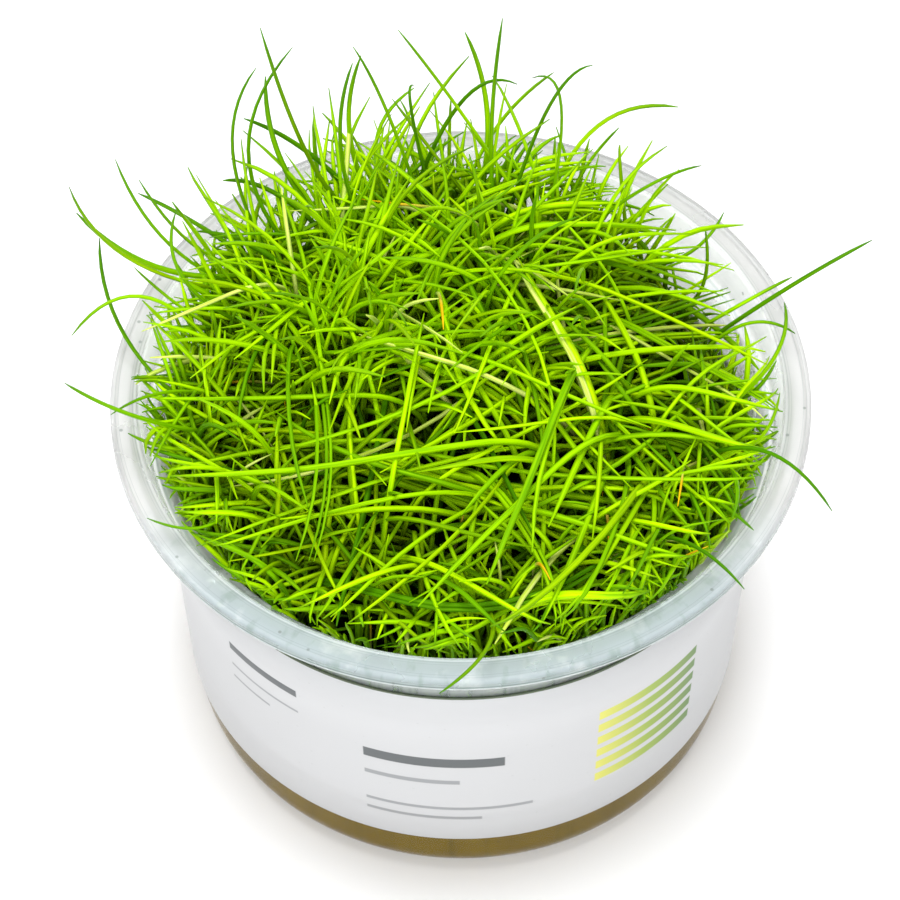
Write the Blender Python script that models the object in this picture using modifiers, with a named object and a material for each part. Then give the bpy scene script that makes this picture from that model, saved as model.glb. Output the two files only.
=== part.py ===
"""Dwarf hairgrass grown in a clear plastic cup.

The cup is thin and clear, with a wide flange, a turned-down lip and a step for a lid. It holds a layer of
nutrient gel and is wrapped in a plain white label. The grass fills it as one dense turf, joined by its
runners, and the long blades that stand clear of the turf are pieces of their own.

Metres, +Z up. The origin is the centre of the cup's base, on the surface it stands on, and -Y faces front.
"""
import math
import random

import bmesh
import bpy
from mathutils import Vector

MM = 0.001
COLLECTION_NAME = "dwarf_hairgrass"
GAP = 0.3 * MM
MERGE_DISTANCE = 0.01 * MM
ROUND_STEPS = 48

# Cup
CUP_HEIGHT = 60.6 * MM
FLANGE_RADIUS = 47.0 * MM
FLANGE_THICKNESS = 0.85 * MM
FLANGE_INNER_RADIUS = 43.6 * MM
LIP_DEPTH = 2.0 * MM
LIP_THICKNESS = 0.7 * MM
EDGE_ROUNDING = 0.6 * MM
WALL_THICKNESS = 0.8 * MM
WALL_FOOT_RADIUS = 37.8 * MM
WALL_FLARE = 0.05
FOOT_ROUNDING = 6.4 * MM
FLOOR_THICKNESS = 1.0 * MM
LID_STEP_HEIGHT = 56.0 * MM
LID_STEP_RADIUS = 42.0 * MM
FOOT_ARC_STEPS = 4
EDGE_ARC_STEPS = 3

# Label
LABEL_THICKNESS = 0.25 * MM
LABEL_BOTTOM = 10.8 * MM
LABEL_TOP = 47.4 * MM
LABEL_SEAM_ANGLE = math.radians(2.0)

# Gel
GEL_TOP = 16.0 * MM
GEL_MENISCUS = 0.5 * MM

# Turf
TURF_CELLS = 14
TURF_RADIUS = 39.0 * MM
TURF_CROWN = 62.0 * MM
TURF_FALL = 4.0 * MM
TURF_LUMP = 0.8 * MM
TURF_LUMP_PITCH_X = 3.6 * MM
TURF_LUMP_PITCH_Y = 4.3 * MM
TURF_SHOULDER = (39.2 * MM, 57.0 * MM)
TURF_WAIST = (39.0 * MM, 54.5 * MM)
TURF_FOOT = (37.2 * MM, GEL_TOP + GEL_MENISCUS + GAP)

# Locks of short blades that stand out of the turf
LOCK_LENGTHS = (9.0 * MM, 17.0 * MM)
LOCK_LEAN = math.radians(50.0)
LOCK_STEPS = 4
LOCK_INSET = 1.3 * MM
LOCK_TIP_SHARE = 0.16
LOCK_ROOT_LIMIT = 35.0 * MM
LOCK_CLEARANCE = 2.6 * MM
LOCK_SEED = 11

# Long blades: root on the turf (x, y), tip (x, y, z), rise of the arch and bow to the side, in millimetres
BLADE_RADIUS = 0.5 * MM
BLADE_TIP_SHARE = 0.3
BLADE_POINTS = 8
LONG_BLADES = [
    # left
    ((-31, 18), (-53, 28, 71), 8, 14),
    ((-29, 21), (-52, 25, 69), 1, 9),
    ((-34, -4), (-49, 23, 66), 1, 8),
    ((-28, 18), (-46, 25, 80), 3, 10),
    ((-26, 22), (-43, 24, 77), 0, 9),
    ((-28, 23), (-44, 31, 66), 5, 2),
    ((-29, 9), (-44, 17, 67), -2, 1),
    ((-29, 12), (-38, 20, 75), 7, 11),
    ((-33, 8), (-52, 6, 66), 11, -7),
    ((-35, -6), (-52, -6, 71), 10, 10),
    ((-33, 0), (-46, -9, 68), 4, -1),
    ((-34, -9), (-44, -9, 64), 1, 3),
    ((-30, -18), (-41, -23, 64), 1, 7),
    # back
    ((-15, 32), (-26, 32, 98), -2, 9),
    ((-23, 25), (-22, 34, 92), -1, 12),
    ((-26, 24), (-27, 34, 88), 6, 8),
    ((-17, 28), (-26, 37, 83), 3, 7),
    ((-12, 31), (-29, 33, 79), 0, -5),
    ((-22, 29), (-30, 33, 67), -2, 0),
    ((-20, 30), (-32, 28, 72), 1, -4),
    ((-20, 27), (-34, 23, 66), 9, 6),
    ((-13, 28), (-14, 32, 91), 3, 5),
    ((-12, 34), (-13, 37, 87), 2, 5),
    ((-5, 32), (-14, 35, 91), 9, 1),
    ((-4, 35), (-6, 36, 82), 19, 6),
    ((-9, 31), (-6, 41, 76), 2, 8),
    ((8, 35), (-8, 38, 91), 5, 2),
    ((3, 35), (1, 42, 86), 1, -4),
    ((5, 30), (6, 38, 93), -3, 2),
    ((-6, 36), (8, 37, 81), 14, 2),
    ((2, 33), (-9, 39, 76), 4, 2),
    ((1, 36), (13, 40, 80), -5, 8),
    ((12, 29), (10, 39, 80), 18, -6),
    ((7, 32), (18, 34, 88), 13, 1),
    ((12, 32), (30, 38, 75), 2, 11),
    ((15, 32), (22, 37, 72), -4, 4),
    ((23, 28), (22, 33, 73), 9, 1),
    ((17, 28), (33, 30, 72), 12, -6),
    # right
    ((27, 22), (36, 25, 68), 2, -5),
    ((32, 16), (33, 18, 73), -2, -2),
    ((35, 10), (55, 14, 75), 6, -3),
    ((34, 12), (45, 16, 65), 5, -3),
    ((33, 7), (45, 7, 64), 7, 1),
    ((34, -4), (43, 5, 73), 7, -8),
    ((35, 0), (42, 0, 67), -3, -4),
    ((34, -10), (42, -7, 69), 1, -7),
    ((32, -11), (48, -25, 67), 12, 1),
    ((32, -17), (38, -25, 63), 1, 0),
    ((25, -24), (36, -38, 68), 6, 0),
    # front
    ((3, -35), (-3, -51, 64), 5, 7),
]

CLEAR_PLASTIC = ("clear_plastic", (0.86, 0.90, 0.91), 0.08)
WHITE_LABEL = ("label_paper", (0.86, 0.86, 0.87), 0.45)
OLIVE_GEL = ("nutrient_gel", (0.36, 0.32, 0.17), 0.2)
TURF_GREEN = ("turf_green", (0.12, 0.27, 0.01), 0.5)
BLADE_GREEN = ("blade_green", (0.24, 0.46, 0.02), 0.4)


def clear_scene():
    for item in list(bpy.data.objects):
        bpy.data.objects.remove(item, do_unlink=True)


def make_material(finish):
    name, colour, roughness = finish
    material = bpy.data.materials.new(name)
    material.use_nodes = True
    shader = material.node_tree.nodes["Principled BSDF"]
    shader.inputs["Base Color"].default_value = (*colour, 1.0)
    shader.inputs["Roughness"].default_value = roughness
    shader.inputs["Metallic"].default_value = 0.0
    if name == CLEAR_PLASTIC[0]:
        shader.inputs["Transmission Weight"].default_value = 1.0
        shader.inputs["IOR"].default_value = 1.5
    return material


def add_mesh_object(name, mesh, material, collection):
    data = bpy.data.meshes.new(name)
    mesh.to_mesh(data)
    mesh.free()
    data.materials.append(material)
    item = bpy.data.objects.new(name, data)
    collection.objects.link(item)
    return item


def arc(centre, radius, start, end, steps):
    """Points of an arc in the (radius, height) plane, angles in degrees."""
    points = []
    for step in range(steps + 1):
        angle = math.radians(start + (end - start) * step / steps)
        points.append((centre[0] + radius * math.cos(angle), centre[1] + radius * math.sin(angle)))
    return points


def turn_profile(name, profile, material, collection, angle=math.tau, turn=0.0):
    """Turns a profile about Z; the profile runs down its outer side."""
    mesh = bmesh.new()
    verts = [mesh.verts.new((radius, 0.0, height)) for radius, height in profile]
    for first, second in zip(verts, verts[1:]):
        mesh.edges.new((first, second))
    item = add_mesh_object(name, mesh, material, collection)
    item.rotation_euler.z = turn
    screw = item.modifiers.new("turn", "SCREW")
    screw.axis = "Z"
    screw.angle = angle
    screw.steps = ROUND_STEPS
    screw.render_steps = ROUND_STEPS
    screw.use_merge_vertices = angle == math.tau
    screw.merge_threshold = MERGE_DISTANCE
    screw.use_smooth_shade = True
    return item


def wall_outer(height):
    return WALL_FOOT_RADIUS + WALL_FLARE * height


def wall_inner(height):
    return wall_outer(height) - WALL_THICKNESS


def cup_profile():
    foot_centre = wall_outer(FOOT_ROUNDING) - FOOT_ROUNDING
    inner_rounding = FOOT_ROUNDING - WALL_THICKNESS
    inner_foot = (foot_centre, FLOOR_THICKNESS + inner_rounding)
    step_lead = 0.5 * MM
    shoulder_drop = 1.8 * MM
    edge_centre = (FLANGE_RADIUS - EDGE_ROUNDING, CUP_HEIGHT - EDGE_ROUNDING)
    inside = [(0.0, FLOOR_THICKNESS)]
    inside += arc(inner_foot, inner_rounding, -90.0, 0.0, FOOT_ARC_STEPS)
    inside += [
        (wall_inner(LID_STEP_HEIGHT - 2.0 * step_lead), LID_STEP_HEIGHT - 2.0 * step_lead),
        (wall_inner(LID_STEP_HEIGHT) + step_lead, LID_STEP_HEIGHT - step_lead),
        (LID_STEP_RADIUS - step_lead, LID_STEP_HEIGHT),
        (LID_STEP_RADIUS, LID_STEP_HEIGHT + step_lead),
        (FLANGE_INNER_RADIUS - EDGE_ROUNDING, CUP_HEIGHT - EDGE_ROUNDING),
        (FLANGE_INNER_RADIUS, CUP_HEIGHT),
    ]
    edge = arc(edge_centre, EDGE_ROUNDING, 90.0, 0.0, EDGE_ARC_STEPS)
    underside = CUP_HEIGHT - FLANGE_THICKNESS
    lip_inner = FLANGE_RADIUS - LIP_THICKNESS
    lip = [
        (FLANGE_RADIUS, CUP_HEIGHT - LIP_DEPTH),
        (lip_inner, CUP_HEIGHT - LIP_DEPTH),
        (lip_inner, underside),
        (FLANGE_INNER_RADIUS + WALL_THICKNESS, underside),
    ]
    shoulder = [
        (LID_STEP_RADIUS + WALL_THICKNESS, LID_STEP_HEIGHT + step_lead),
        (LID_STEP_RADIUS + 0.3 * WALL_THICKNESS, LID_STEP_HEIGHT - 0.7 * WALL_THICKNESS),
        (wall_outer(LID_STEP_HEIGHT) + step_lead, LID_STEP_HEIGHT - shoulder_drop),
        (wall_outer(LID_STEP_HEIGHT - 2.0 * shoulder_drop), LID_STEP_HEIGHT - 2.0 * shoulder_drop),
    ]
    foot = arc((foot_centre, FOOT_ROUNDING), FOOT_ROUNDING, 0.0, -90.0, FOOT_ARC_STEPS)
    return inside + edge + lip + shoulder + foot + [(0.0, 0.0)]


def make_cup(collection, material):
    return turn_profile("cup", cup_profile(), material, collection)


def make_label(collection, material):
    """A thin wrap, open at its seam behind."""
    back = wall_outer(0.0) + GAP
    profile = [(back + WALL_FLARE * LABEL_TOP, LABEL_TOP), (back + WALL_FLARE * LABEL_BOTTOM, LABEL_BOTTOM)]
    angle = math.tau - LABEL_SEAM_ANGLE
    turn = math.radians(90.0) + LABEL_SEAM_ANGLE / 2.0
    item = turn_profile("label", profile, material, collection, angle, turn)
    wall = item.modifiers.new("thickness", "SOLIDIFY")
    wall.thickness = LABEL_THICKNESS
    wall.offset = 1.0
    return item


def make_gel(collection, material):
    radius = wall_inner(GEL_TOP) - GAP
    bottom = FLOOR_THICKNESS + GAP
    rounding = FOOT_ROUNDING - WALL_THICKNESS - GAP
    foot_centre = (wall_outer(FOOT_ROUNDING) - FOOT_ROUNDING, bottom + rounding)
    profile = [
        (0.0, GEL_TOP),
        (radius - 4.0 * GEL_MENISCUS, GEL_TOP),
        (radius, GEL_TOP + GEL_MENISCUS),
    ]
    profile += arc(foot_centre, rounding, 0.0, -90.0, FOOT_ARC_STEPS)
    profile.append((0.0, bottom))
    return turn_profile("gel", profile, material, collection)


def turf_top(x, y):
    """Height of the turf's gently domed and lumpy top."""
    fall = TURF_FALL * (x * x + y * y) / LID_STEP_RADIUS**2
    lumps = math.sin(x / TURF_LUMP_PITCH_X + 0.7) * math.cos(y / TURF_LUMP_PITCH_Y - 0.4)
    return TURF_CROWN - fall + TURF_LUMP * lumps


def blade_path(blade):
    """Centre line of a long blade, from just above the turf to its tip."""
    (root_x, root_y), tip, rise, bow = blade
    root = Vector((root_x * MM, root_y * MM, 0.0))
    root.z = turf_top(root.x, root.y) + BLADE_RADIUS + GAP
    tip = Vector(tip) * MM
    along = tip - root
    sideways = Vector((-along.y, along.x, 0.0)).normalized()
    bend = (root + tip) / 2.0 + Vector((0.0, 0.0, rise * MM)) + sideways * bow * MM
    path = []
    for step in range(BLADE_POINTS):
        share = step / (BLADE_POINTS - 1)
        path.append(root * (1.0 - share) ** 2 + bend * 2.0 * share * (1.0 - share) + tip * share**2)
    return path


def lock_path(root, length, heading):
    """Centre line of a lock, which leans further over towards its tip."""
    path = [root]
    for step in range(LOCK_STEPS):
        lean = LOCK_LEAN * (0.5 + (step + 1) / LOCK_STEPS) / 1.5
        stride = Vector((math.cos(heading) * math.sin(lean), math.sin(heading) * math.sin(lean), math.cos(lean)))
        path.append(path[-1] + stride * length / LOCK_STEPS)
    return path


def stands_clear(path, blade_paths):
    """True where a lock keeps its distance from every long blade."""
    for blade in blade_paths:
        for point in path:
            if min((point - other).length for other in blade) < LOCK_CLEARANCE:
                return False
    return True


def raise_lock(mesh, face, path):
    bmesh.ops.inset_individual(mesh, faces=[face], thickness=LOCK_INSET)
    shrink = LOCK_TIP_SHARE ** (1.0 / LOCK_STEPS)
    for start, end in zip(path, path[1:]):
        face = bmesh.ops.extrude_discrete_faces(mesh, faces=[face])["faces"][0]
        centre = face.calc_center_median()
        for vert in face.verts:
            vert.co = centre + (vert.co - centre) * shrink + (end - start)


def make_turf(collection, material, blade_paths):
    mesh = bmesh.new()
    bmesh.ops.create_grid(mesh, x_segments=TURF_CELLS, y_segments=TURF_CELLS, size=1.0)
    chequer = []
    for face in mesh.faces:
        middle = face.calc_center_median()
        column = math.floor((middle.x + 1.0) / 2.0 * TURF_CELLS)
        row = math.floor((middle.y + 1.0) / 2.0 * TURF_CELLS)
        if (column + row) % 2 == 0:
            chequer.append(face)
    for vert in mesh.verts:
        across, deep = vert.co.x, vert.co.y
        vert.co.x = TURF_RADIUS * across * math.sqrt(1.0 - deep * deep / 2.0)
        vert.co.y = TURF_RADIUS * deep * math.sqrt(1.0 - across * across / 2.0)
        vert.co.z = turf_top(vert.co.x, vert.co.y)
    for radius, height in (TURF_SHOULDER, TURF_WAIST, TURF_FOOT):
        border = [edge for edge in mesh.edges if edge.is_boundary]
        ring = bmesh.ops.extrude_edge_only(mesh, edges=border)["geom"]
        for vert in (part for part in ring if isinstance(part, bmesh.types.BMVert)):
            outward = Vector((vert.co.x, vert.co.y, 0.0)).normalized()
            vert.co = outward * radius + Vector((0.0, 0.0, height))
    border = [edge for edge in mesh.edges if edge.is_boundary]
    bmesh.ops.contextual_create(mesh, geom=border)
    bmesh.ops.recalc_face_normals(mesh, faces=mesh.faces)
    chance = random.Random(LOCK_SEED)
    for face in chequer:
        root = face.calc_center_median()
        length = chance.uniform(*LOCK_LENGTHS)
        swirl = math.sin(root.x / (11.0 * MM)) + math.cos(root.y / (13.0 * MM))
        heading = math.atan2(root.y, root.x) * 0.3 + 1.4 * swirl + chance.uniform(-0.3, 0.3)
        path = lock_path(root, length, heading)
        if math.hypot(root.x, root.y) > LOCK_ROOT_LIMIT or not stands_clear(path, blade_paths):
            continue
        raise_lock(mesh, face, path)
    return add_mesh_object("turf", mesh, material, collection)


def make_long_blade(name, path, collection, material):
    curve = bpy.data.curves.new(name, "CURVE")
    curve.dimensions = "3D"
    curve.bevel_depth = BLADE_RADIUS
    curve.bevel_resolution = 0
    curve.use_fill_caps = True
    spline = curve.splines.new("POLY")
    spline.points.add(len(path) - 1)
    for index, point in enumerate(path):
        share = index / (len(path) - 1)
        spline.points[index].co = (*point, 1.0)
        spline.points[index].radius = 1.0 - (1.0 - BLADE_TIP_SHARE) * share
    curve.materials.append(material)
    item = bpy.data.objects.new(name, curve)
    collection.objects.link(item)
    return item


def build():
    clear_scene()
    collection = bpy.data.collections.new(COLLECTION_NAME)
    bpy.context.scene.collection.children.link(collection)
    make_cup(collection, make_material(CLEAR_PLASTIC))
    make_label(collection, make_material(WHITE_LABEL))
    make_gel(collection, make_material(OLIVE_GEL))
    blade_paths = [blade_path(blade) for blade in LONG_BLADES]
    make_turf(collection, make_material(TURF_GREEN), blade_paths)
    green = make_material(BLADE_GREEN)
    for index, path in enumerate(blade_paths):
        make_long_blade(f"long_blade_{index + 1:02d}", path, collection, green)


build()
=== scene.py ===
import math

import bmesh
import bpy
import numpy as np
from mathutils import Matrix, Vector


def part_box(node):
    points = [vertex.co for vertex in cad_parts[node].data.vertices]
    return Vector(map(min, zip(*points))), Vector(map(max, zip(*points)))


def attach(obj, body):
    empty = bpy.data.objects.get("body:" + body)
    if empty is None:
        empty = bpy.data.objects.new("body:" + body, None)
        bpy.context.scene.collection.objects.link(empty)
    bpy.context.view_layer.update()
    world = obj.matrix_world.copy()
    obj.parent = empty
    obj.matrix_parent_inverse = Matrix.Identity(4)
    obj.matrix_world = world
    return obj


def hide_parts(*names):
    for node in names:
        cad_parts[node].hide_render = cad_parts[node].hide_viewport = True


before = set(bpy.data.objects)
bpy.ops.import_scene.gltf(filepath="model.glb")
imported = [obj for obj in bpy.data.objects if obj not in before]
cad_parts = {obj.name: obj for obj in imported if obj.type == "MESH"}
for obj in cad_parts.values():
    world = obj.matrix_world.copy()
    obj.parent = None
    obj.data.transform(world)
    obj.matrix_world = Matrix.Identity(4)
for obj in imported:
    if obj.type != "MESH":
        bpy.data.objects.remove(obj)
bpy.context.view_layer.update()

MM = 0.001

# Camera
CAMERA_PLACE = Vector((0.0, -372.2, 535.0)) * MM
CAMERA_DOWN = math.radians(52.61)
CAMERA_LEFT = math.radians(0.23)
CAMERA_ROLL = math.radians(0.64)
CAMERA_LENS = 180.0
SENSOR_WIDTH = 36.0

# Cup, read from the frame where the frame has it
CUP_LOW, CUP_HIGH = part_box("cup")
CUP_HEIGHT = CUP_HIGH.z
FLANGE_RADIUS = CUP_HIGH.x
FLANGE_INNER_RADIUS = 43.6 * MM
FLANGE_THICKNESS = 0.85 * MM
LIP_DEPTH = 2.0 * MM
LIP_THICKNESS = 0.7 * MM
EDGE_ROUNDING = 0.6 * MM
FLAT_EDGE = 0.12 * MM
WALL_THICKNESS = 0.8 * MM
WALL_FOOT_RADIUS = 37.8 * MM
WALL_FLARE = 0.05
FOOT_ROUNDING = 6.4 * MM
FLOOR_THICKNESS = 1.0 * MM
LID_STEP_HEIGHT = 56.0 * MM
LID_STEP_RADIUS = 42.0 * MM
CLEAR_BAND = -0.2 * MM
# Lines painted on the plastics as (way, place, half width, depth, colour): the white ones are painted highlights, the
# others painted shade lines along edges and steps
SHADE_LINE_GREY = (0.20, 0.26, 0.25)
HIGHLIGHT_WHITE = (0.90, 0.93, 0.93)
FLANGE_PAINTED_LINES = [
    ("reach", 43.7, 0.10, 0.6, HIGHLIGHT_WHITE),
    ("reach", 43.95, 0.07, 0.4, SHADE_LINE_GREY),
    ("reach", 44.3, 0.06, 0.25, SHADE_LINE_GREY),
    ("reach", 45.9, 0.06, 0.3, SHADE_LINE_GREY),
    ("reach", 46.3, 0.06, 0.3, SHADE_LINE_GREY),
    ("height", 47.8, 0.45, 0.8, HIGHLIGHT_WHITE),
    ("height", 48.5, 0.22, 0.7, SHADE_LINE_GREY),
]
LIP_PAINTED_LINES = [
    ("height", 58.85, 0.30, 0.75, HIGHLIGHT_WHITE),
    ("height", 59.32, 0.16, 0.9, SHADE_LINE_GREY),
]
STEP_PAINTED_LINES = [("reach", 41.4, 0.25, 0.45, (0.40, 0.52, 0.50))]
ROUND_STEPS = 192

# Lights: name, place and size in metres, power in watts
SOFT_BOXES = [
    ("over_box", (-0.03, 0.05, 1.1), 0.7, 12.0),
    ("front_box", (-0.10, -0.85, 0.62), 0.8, 7.5),
]

# Label and gel
LABEL_LOW, LABEL_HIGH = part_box("label")
LABEL_THICKNESS = 0.4 * MM
LABEL_GAP = 0.15 * MM
GEL_TOP = 16.0 * MM
GEL_MENISCUS = 0.5 * MM
GEL_CONTACT = 0.03 * MM

LABEL_WHITE = (0.56, 0.565, 0.575)
# Painted light falloff on the label: its white is multiplied by these, by share of height from 11 to 47.4 mm, lighter
# at the bottom and top and darker between
LABEL_PAINTED_FALLOFF = [
    (0.03, (1.00, 1.00, 1.00)),
    (0.20, (0.87, 0.87, 0.87)),
    (0.60, (0.88, 0.88, 0.88)),
    (0.84, (0.94, 0.94, 0.94)),
    (0.98, (1.06, 1.06, 1.06)),
]
INK_GREY = (0.10, 0.11, 0.115)
# Painted shadow colour along the label's top edge
EDGE_SHADE = (0.085, 0.115, 0.055)
INK_PALE = (0.30, 0.31, 0.32)
PRINTED_BARS = [
    ((-29.0, 38.5), (12.0, 1.6), INK_GREY),
    ((-29.0, 34.0), (12.0, 0.5), INK_PALE),
    ((-31.5, 31.0), (7.0, 0.5), INK_PALE),
    ((-4.0, 31.0), (19.0, 2.2), INK_GREY),
    ((-7.0, 26.0), (13.0, 1.0), INK_PALE),
    ((-2.0, 19.0), (23.0, 0.7), INK_PALE),
    ((-5.5, 16.5), (16.0, 0.7), INK_PALE),
]
PANEL_CENTRE = (27.0, 28.0)
PANEL_SIZE = (17.0, 19.0)
PANEL_STRIPES = 6

# Grass
GRASS_SEED = 7
GROWTH_STEPS = 40
SMOOTHING_PASSES = 5
BEND_SHARE = 0.8
BLADE_FLATNESS = 0.72
GRAIN_TURNS = 1.6
GRAIN_LENGTH = 9.0 * MM
TURN_MARGIN = 9.0 * MM
TURN_RADIUS = 6.0 * MM
LOW_SIDE_BEARING = math.radians(33.0)
LOW_SIDE_SPREAD = math.radians(27.0)
LOW_SIDE_DROP = 8.0 * MM
LOW_SIDE_GAP = 2.8


def set_picture():
    scene = bpy.context.scene
    scene.view_settings.view_transform = "Standard"
    scene.cycles.max_bounces = 14
    scene.cycles.transmission_bounces = 12
    scene.cycles.transparent_max_bounces = 12


def add_piece(name, mesh, material, node=None, smooth=True):
    data = bpy.data.meshes.new(name)
    mesh.to_mesh(data)
    mesh.free()
    if smooth:
        data.shade_smooth()
    data.materials.append(material)
    piece = bpy.data.objects.new(name, data)
    bpy.context.scene.collection.objects.link(piece)
    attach(piece, "root")
    if node:
        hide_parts(node)
    return piece


class Finish:
    """A material whose nodes are added and linked by short calls."""

    def __init__(self, name):
        self.material = bpy.data.materials.new(name)
        self.material.use_nodes = True
        self.tree = self.material.node_tree
        self.shader = self.tree.nodes["Principled BSDF"]
        self.output = self.tree.nodes["Material Output"]

    def add(self, kind, values=None, **settings):
        node = self.tree.nodes.new(kind)
        for key, value in settings.items():
            setattr(node, key, value)
        for key, value in (values or {}).items():
            node.inputs[key].default_value = value
        return node

    def link(self, out, into):
        self.tree.links.new(out, into)

    def feed(self, out, socket):
        self.link(out, self.shader.inputs[socket])

    def set(self, **values):
        for key, value in values.items():
            self.shader.inputs[key.replace("_", " ")].default_value = value

    def place(self):
        return self.add("ShaderNodeTexCoord").outputs["Object"]

    def attribute(self, name):
        return self.add("ShaderNodeAttribute", attribute_name=name).outputs["Fac"]

    def noise(self, scale, detail=3.0, vector=None):
        node = self.add("ShaderNodeTexNoise", {"Scale": scale, "Detail": detail})
        self.link(vector or self.place(), node.inputs["Vector"])
        return node.outputs["Fac"]

    def ramp(self, factor, stops, interpolation="LINEAR"):
        node = self.add("ShaderNodeValToRGB")
        node.color_ramp.interpolation = interpolation
        marks = node.color_ramp.elements
        while len(marks) < len(stops):
            marks.new(0.5)
        for mark, (spot, colour) in zip(marks, stops):
            mark.position = spot
            mark.color = (*colour, 1.0)
        self.link(factor, node.inputs["Fac"])
        return node.outputs["Color"]

    def math(self, operation, first, second=0.0):
        node = self.add("ShaderNodeMath", operation=operation)
        for socket, value in zip(node.inputs, (first, second)):
            if isinstance(value, (int, float)):
                socket.default_value = value
            else:
                self.link(value, socket)
        return node.outputs[0]

    def mix(self, factor, first, second, blend="MIX"):
        node = self.add("ShaderNodeMix", data_type="RGBA", blend_type=blend, clamp_factor=True)
        for socket, value in zip((node.inputs[0], node.inputs[6], node.inputs[7]), (factor, first, second)):
            if isinstance(value, tuple):
                socket.default_value = (*value, 1.0)
            elif isinstance(value, (int, float)):
                socket.default_value = value
            else:
                self.link(value, socket)
        return node.outputs[2]

    def spread(self, value, low, high, new_low, new_high):
        node = self.add("ShaderNodeMapRange", {"From Min": low, "From Max": high, "To Min": new_low, "To Max": new_high})
        self.link(value, node.inputs["Value"])
        return node.outputs["Result"]

    def bump(self, height, strength, distance):
        node = self.add("ShaderNodeBump", {"Strength": strength, "Distance": distance})
        self.link(height, node.inputs["Height"])
        self.feed(node.outputs["Normal"], "Normal")


def reach_and_height(finish):
    """Distance from the cup's axis, and height, in metres."""
    split = finish.add("ShaderNodeSeparateXYZ")
    finish.link(finish.place(), split.inputs["Vector"])
    flat = finish.add("ShaderNodeVectorMath", {1: (1.0, 1.0, 0.0)}, operation="MULTIPLY")
    finish.link(finish.place(), flat.inputs[0])
    reach = finish.add("ShaderNodeVectorMath", operation="LENGTH")
    finish.link(flat.outputs["Vector"], reach.inputs[0])
    return reach.outputs["Value"], split.outputs["Z"]


def clear_plastic(name, clearness, pale, front_shade, roughness, gloss, bend, lines=()):
    """Thin plastic with a milky haze, painted shade that greys it to the front with painted dark streaks and painted
    white glints there, fine turned rings, tiny marks and painted highlight and shade lines.

    A line is ("reach" or "height", its place, its half width, its depth, its colour), in millimetres.
    """
    finish = Finish(name)
    finish.set(Transmission_Weight=clearness, IOR=bend, Specular_IOR_Level=gloss)
    haze = finish.noise(90.0, 4.0)
    reach, height = reach_and_height(finish)
    turned = finish.add("ShaderNodeCombineXYZ")
    finish.link(finish.math("MULTIPLY", reach, 900.0), turned.inputs["X"])
    finish.link(finish.math("MULTIPLY", height, 900.0), turned.inputs["Y"])
    rings = finish.noise(1.0, 2.0, turned.outputs["Vector"])
    specks = finish.add("ShaderNodeTexVoronoi", {"Scale": 330.0})
    finish.link(finish.place(), specks.inputs["Vector"])
    speck = finish.spread(specks.outputs["Distance"], 0.06, 0.10, 0.7, 0.0)
    split = finish.add("ShaderNodeSeparateXYZ")
    finish.link(finish.place(), split.inputs["Vector"])
    # Painted shade: toward the front the colour goes to a darker, bluer painted-shade colour
    frontal = finish.spread(split.outputs["Y"], -34.0 * MM, -18.0 * MM, 1.0, 0.0)
    colour = finish.mix(frontal, pale, front_shade)
    cloudy = finish.ramp(haze, [(0.35, (0.95, 0.95, 0.95)), (0.65, (1.0, 1.0, 1.0))])
    colour = finish.mix(1.0, colour, cloudy, "MULTIPLY")
    ring_tint = finish.ramp(rings, [(0.35, (0.95, 0.96, 0.955)), (0.6, (1.0, 1.0, 1.0))])
    colour = finish.mix(1.0, colour, ring_tint, "MULTIPLY")
    # Painted dark streaks toward the front, standing in for the grass seen through the plastic
    angle = finish.math("ARCTAN2", split.outputs["X"], split.outputs["Y"])
    streak_place = finish.add("ShaderNodeCombineXYZ")
    finish.link(finish.math("MULTIPLY", angle, 26.0), streak_place.inputs["X"])
    finish.link(finish.math("MULTIPLY", reach, 260.0), streak_place.inputs["Y"])
    painted_streak = finish.math("MULTIPLY", finish.spread(finish.noise(1.0, 3.0, streak_place.outputs["Vector"]), 0.54, 0.68, 0.0, 0.5), frontal)
    colour = finish.mix(painted_streak, colour, (0.28, 0.38, 0.33))
    # Painted white glints toward the front
    painted_glint = finish.spread(finish.noise(240.0, 4.0), 0.56, 0.7, 0.0, 0.6)
    colour = finish.mix(finish.math("MULTIPLY", painted_glint, frontal), colour, HIGHLIGHT_WHITE)
    # Painted lines: the white ones are painted highlights, the others painted shade
    for way, middle, half_width, depth, tint in lines:
        value = reach if way == "reach" else height
        off_line = finish.math("ABSOLUTE", finish.math("SUBTRACT", value, middle * MM))
        mask = finish.spread(off_line, 0.4 * half_width * MM, half_width * MM, depth, 0.0)
        colour = finish.mix(mask, colour, tint)
    finish.feed(finish.mix(speck, colour, (0.22, 0.26, 0.24)), "Base Color")
    finish.feed(finish.spread(haze, 0.3, 0.7, *roughness), "Roughness")
    return finish.material


def around(finish):
    """Distance round the cup from the front in millimetres, growing to the right, and height."""
    split = finish.add("ShaderNodeSeparateXYZ")
    finish.link(finish.place(), split.inputs["Vector"])
    x, y, z = (split.outputs[axis] for axis in "XYZ")
    angle = finish.math("ARCTAN2", x, finish.math("MULTIPLY", y, -1.0))
    radius = (WALL_FOOT_RADIUS + WALL_FLARE * (LABEL_LOW.z + LABEL_HIGH.z) / 2) / MM
    return finish.math("MULTIPLY", angle, radius), finish.math("MULTIPLY", z, 1.0 / MM)


def plain_bar(finish, across, height, centre, size, soft=0.08):
    """A mask of a plain rectangle on the label, in millimetres."""
    masks = []
    for value, middle, width in zip((across, height), centre, size):
        away = finish.math("ABSOLUTE", finish.math("SUBTRACT", value, middle))
        masks.append(finish.spread(away, width / 2 - soft, width / 2 + soft, 1.0, 0.0))
    return finish.math("MULTIPLY", *masks)


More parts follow.
